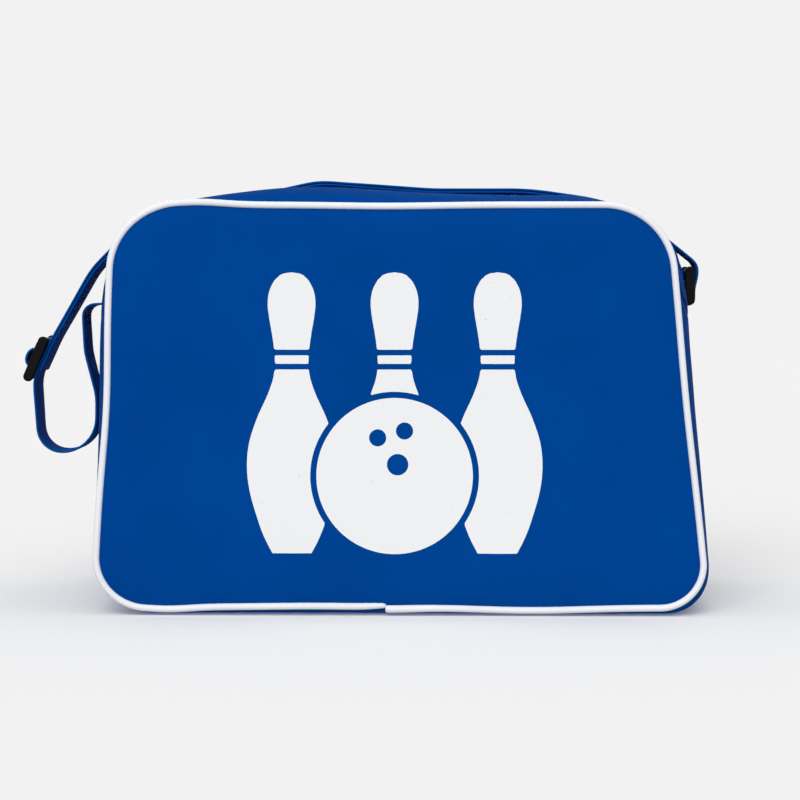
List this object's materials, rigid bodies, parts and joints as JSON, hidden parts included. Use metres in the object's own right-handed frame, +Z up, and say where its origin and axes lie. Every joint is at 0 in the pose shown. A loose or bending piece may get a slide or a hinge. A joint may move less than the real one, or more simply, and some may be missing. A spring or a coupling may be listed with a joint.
{
  "type": "bowling ball bag",
  "caption": "Zip-top blue vinyl shoulder bag for a bowling ball, with white piping round flat front and back panels, a bulging gusset and a flat webbing strap with slide buckles.",
  "frame": {"origin": "centre of the flat base, on the surface the bag stands on", "axes": "+X along the bag, +Y from the front panel to the back panel, +Z up"},
  "size_m": [0.4658, 0.2316, 0.2875],
  "materials": {
    "shell": "satin",
    "piping": "satin",
    "piping_core": "matte",
    "lining": "matte",
    "base_board": "matte",
    "zip_tape": "matte",
    "zip_teeth": "satin",
    "zip_metal": "satin",
    "webbing": "satin",
    "buckle": "gloss"
  },
  "bodies": {
    "shell": {"lower_gusset": "shell", "upper_gusset_left": "shell", "upper_gusset_right": "shell", "panel_front": "shell", "panel_back": "shell", "zip_end_tab_left": "shell", "zip_end_tab_right": "shell", "lining_gusset": "lining", "lining_front": "lining", "lining_back": "lining", "base_board": "base_board", "piping_cover_front": "piping", "piping_cover_back": "piping", "piping_core_front": "piping_core", "piping_core_back": "piping_core", "zip_tape_left_end": "zip_tape", "zip_tape_right_end": "zip_tape", "zip_teeth_left_end": "zip_teeth", "zip_teeth_right_end": "zip_teeth", "zip_stop_left": "zip_metal", "zip_stop_right": "zip_metal", "strap_left_outer": "webbing", "strap_left_inner": "webbing", "strap_right_outer": "webbing", "strap_right_inner": "webbing", "strap_end_loop_right": "webbing", "buckle_right": "buckle"},
    "front_flap": {"top_strip_front": "shell", "zip_tape_front": "zip_tape", "zip_teeth_front": "zip_teeth"},
    "back_flap": {"top_strip_back": "shell", "zip_tape_back": "zip_tape", "zip_teeth_back": "zip_teeth", "strap_top_outer": "webbing", "strap_top_inner": "webbing"},
    "slider": {"zip_slider": "zip_metal"},
    "pull": {"pull_tab": "zip_metal"},
    "buckle": {"buckle_left": "buckle", "strap_end_loop_left": "webbing"}
  },
  "joints": [
    {"name": "back_flap_hinge", "type": "hinge", "parent": "shell", "child": "back_flap", "pos_m": [0, 0.1108, 0.2688], "axis": [-1, 0, 0], "range_deg": [0, 105]},
    {"name": "front_flap_hinge", "type": "hinge", "parent": "shell", "child": "front_flap", "pos_m": [0, -0.1108, 0.2688], "axis": [1, 0, 0], "range_deg": [0, 105]},
    {"name": "zip_slide", "type": "slide", "parent": "shell", "child": "slider", "axis": [1, 0, 0], "range_m": [-0.256, 0]},
    {"name": "pull_turn", "type": "hinge", "parent": "slider", "child": "pull", "pos_m": [0.12, 0, 0.2692], "axis": [0, 0, 1], "range_deg": [-75, 75]},
    {"name": "buckle_slide", "type": "slide", "parent": "shell", "child": "buckle", "axis": [0.3907, 0, 0.9205], "range_m": [0, 0.012]}
  ],
  "couplings": [
    {"joint": "front_flap_hinge", "follows": "back_flap_hinge", "ratio": 1}
  ]
}
